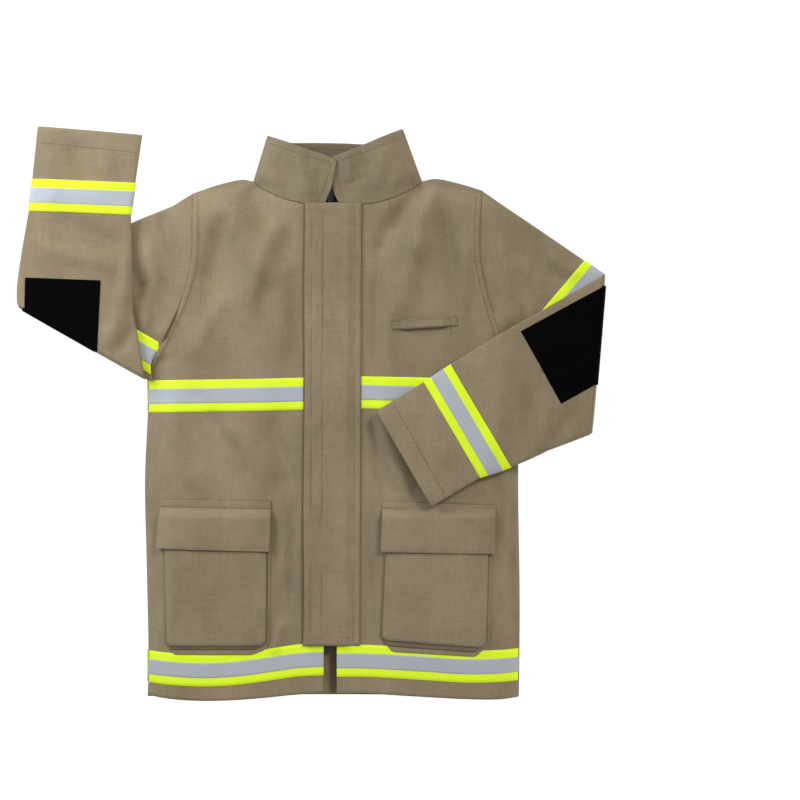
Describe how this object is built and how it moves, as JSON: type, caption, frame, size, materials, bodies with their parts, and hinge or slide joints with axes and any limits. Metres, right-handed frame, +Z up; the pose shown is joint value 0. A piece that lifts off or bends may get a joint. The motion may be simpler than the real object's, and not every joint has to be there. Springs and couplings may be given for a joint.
{
  "type": "turnout coat",
  "caption": "Short protective coat laid flat, front up and zipped, sleeves folded at the elbow, with lime and reflective tapes, covered zip, bellows pockets and stand collar.",
  "frame": {"origin": "on the underside of the back panel, on the body's centre line, midway between the hem and the shoulder", "axes": "+X to the wearer's left, +Y from hem to collar, +Z up out of the coat's front as it lies on its back"},
  "size_m": [0.6574, 0.6378, 0.039],
  "materials": {
    "shell": "tan twill weave, matte",
    "webbing": "tan ribbed webbing",
    "lime_tape": "fluorescent lime woven tape",
    "reflective_stripe": "silver retroreflective film on cloth, satin",
    "elbow_patch": "matte black coated cloth",
    "zip_tape": "black woven tape",
    "zip_teeth": "black moulded plastic",
    "zip_metal": "black painted die casting",
    "hook_tape": "tan hook tape",
    "loop_tape": "tan loop tape, brushed"
  },
  "bodies": {
    "coat": {"back_panel": "shell", "chest_stripe_back": "reflective_stripe", "chest_stripe_left": "reflective_stripe", "chest_stripe_right": "reflective_stripe", "chest_trim_back": "lime_tape", "chest_trim_left": "lime_tape", "chest_trim_right": "lime_tape", "collar_back": "shell", "front_loop_tape": "loop_tape", "hem_stripe_back": "reflective_stripe", "hem_stripe_left": "reflective_stripe", "hem_stripe_right": "reflective_stripe", "hem_trim_back": "lime_tape", "hem_trim_left": "lime_tape", "hem_trim_right": "lime_tape", "left_collar": "shell", "left_front_panel": "shell", "left_pocket_front": "shell", "left_pocket_gusset": "shell", "left_pocket_loop_tape": "loop_tape", "left_pocket_strip": "shell", "left_upper_band": "lime_tape", "left_upper_sleeve": "shell", "left_upper_stripe": "reflective_stripe", "mic_loop": "webbing", "right_collar": "shell", "right_front_panel": "shell", "right_pocket_front": "shell", "right_pocket_gusset": "shell", "right_pocket_loop_tape": "loop_tape", "right_pocket_strip": "shell", "right_upper_band": "lime_tape", "right_upper_sleeve": "shell", "right_upper_stripe": "reflective_stripe", "storm_flap_strip": "shell", "zip_retainer_box": "zip_teeth", "zip_stop_left": "zip_teeth", "zip_stop_right": "zip_teeth", "zip_tape_left": "zip_tape", "zip_tape_right": "zip_tape", "zip_teeth_left": "zip_teeth", "zip_teeth_right": "zip_teeth"},
    "storm_flap": {"storm_flap": "shell", "flap_hook_tape": "hook_tape"},
    "right_pocket_flap": {"right_pocket_flap": "shell", "right_pocket_hook_tape": "hook_tape"},
    "left_pocket_flap": {"left_pocket_flap": "shell", "left_pocket_hook_tape": "hook_tape"},
    "right_forearm": {"right_forearm": "shell", "right_cuff_band": "lime_tape", "right_cuff_stripe": "reflective_stripe", "right_elbow_patch": "elbow_patch"},
    "left_forearm": {"left_forearm": "shell", "left_cuff_band": "lime_tape", "left_cuff_stripe": "reflective_stripe", "left_elbow_patch": "elbow_patch"},
    "zip_slider": {"zip_slider": "zip_metal"},
    "zip_pull": {"zip_pull_tab": "zip_metal"}
  },
  "joints": [
    {"name": "storm_flap_hinge", "type": "hinge", "parent": "coat", "child": "storm_flap", "pos_m": [0.024, 0.0156, 0.02], "axis": [0, 1, 0], "range_deg": [0, 115]},
    {"name": "right_pocket_flap_hinge", "type": "hinge", "parent": "coat", "child": "right_pocket_flap", "pos_m": [-0.131, -0.081, 0.02], "axis": [-1, 0, 0], "range_deg": [0, 120]},
    {"name": "left_pocket_flap_hinge", "type": "hinge", "parent": "coat", "child": "left_pocket_flap", "pos_m": [0.1175, -0.081, 0.02], "axis": [-1, 0, 0], "range_deg": [0, 60]},
    {"name": "right_elbow_fold", "type": "hinge", "parent": "coat", "child": "right_forearm", "pos_m": [-0.2809, 0.1062, 0.0145], "axis": [0.8686, -0.4955, 0], "range_deg": [0, 178]},
    {"name": "left_elbow_fold", "type": "hinge", "parent": "coat", "child": "left_forearm", "pos_m": [0.2979, 0.0941, 0.0145], "axis": [0.0819, 0.9966, 0], "range_deg": [0, 174]},
    {"name": "zip_slide", "type": "slide", "parent": "coat", "child": "zip_slider", "axis": [0, -1, 0], "range_m": [0, 0.484]},
    {"name": "zip_pull_hinge", "type": "hinge", "parent": "zip_slider", "child": "zip_pull", "pos_m": [-0.002, 0.266, 0.0192], "axis": [1, 0, 0], "range_deg": [0, 120]}
  ]
}
